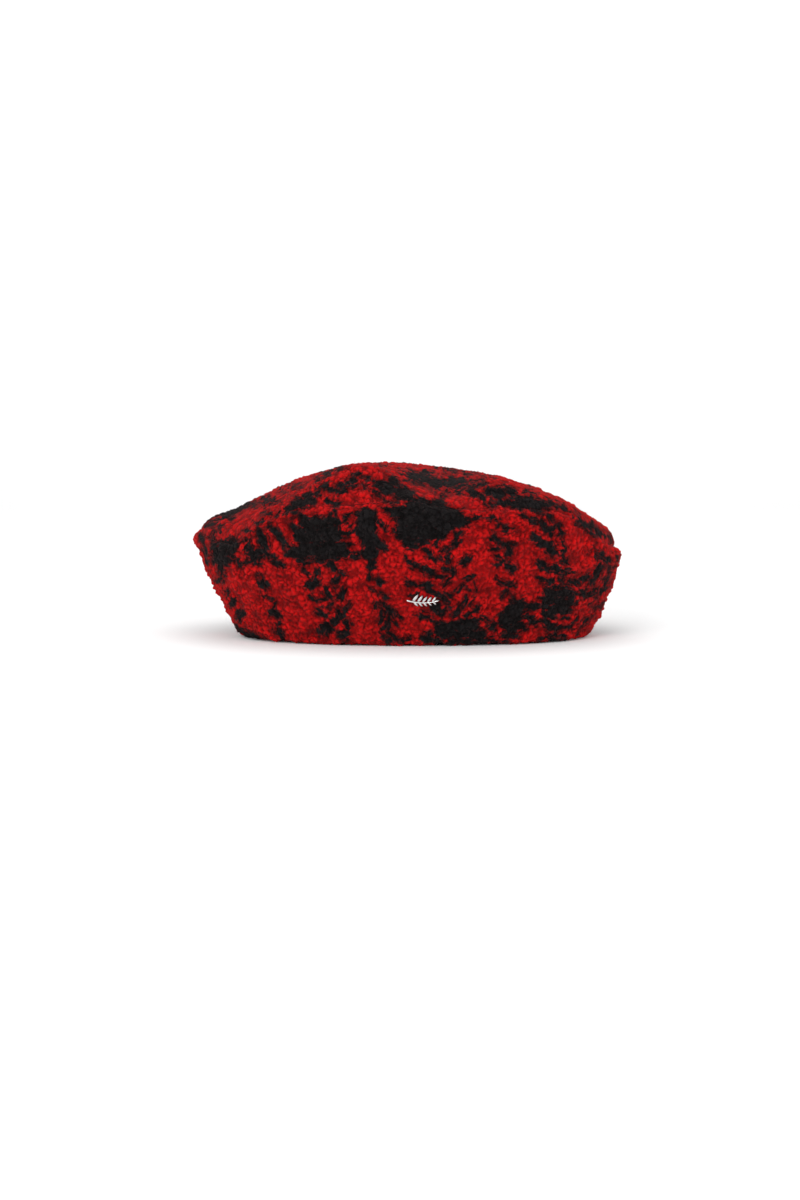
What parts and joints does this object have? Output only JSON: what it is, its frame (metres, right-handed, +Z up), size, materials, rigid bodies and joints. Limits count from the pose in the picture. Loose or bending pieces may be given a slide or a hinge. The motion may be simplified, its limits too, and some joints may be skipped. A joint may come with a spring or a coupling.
{
  "type": "tam o shanter",
  "caption": "Soft pile-cloth tam with a puffed oval crown, front and back side panels turned under to a hem, and a small metal sprig pin.",
  "frame": {"origin": "under the middle of the tam's bounding box, in the plane its hem rests on", "axes": "+Z up; the front faces -Y; +X runs to the viewer's right seen from the front, along the tam's longest side"},
  "size_m": [0.284, 0.2199, 0.1155],
  "materials": {
    "crown": "curly wool pile, red and black check",
    "side_front": "curly wool pile, red and black check",
    "side_back": "curly wool pile, red and black check",
    "pin_sprig": "polished"
  },
  "bodies": {
    "root": {"crown": "crown", "side_front": "side_front", "side_back": "side_back", "pin_sprig": "pin_sprig"}
  },
  "joints": []
}
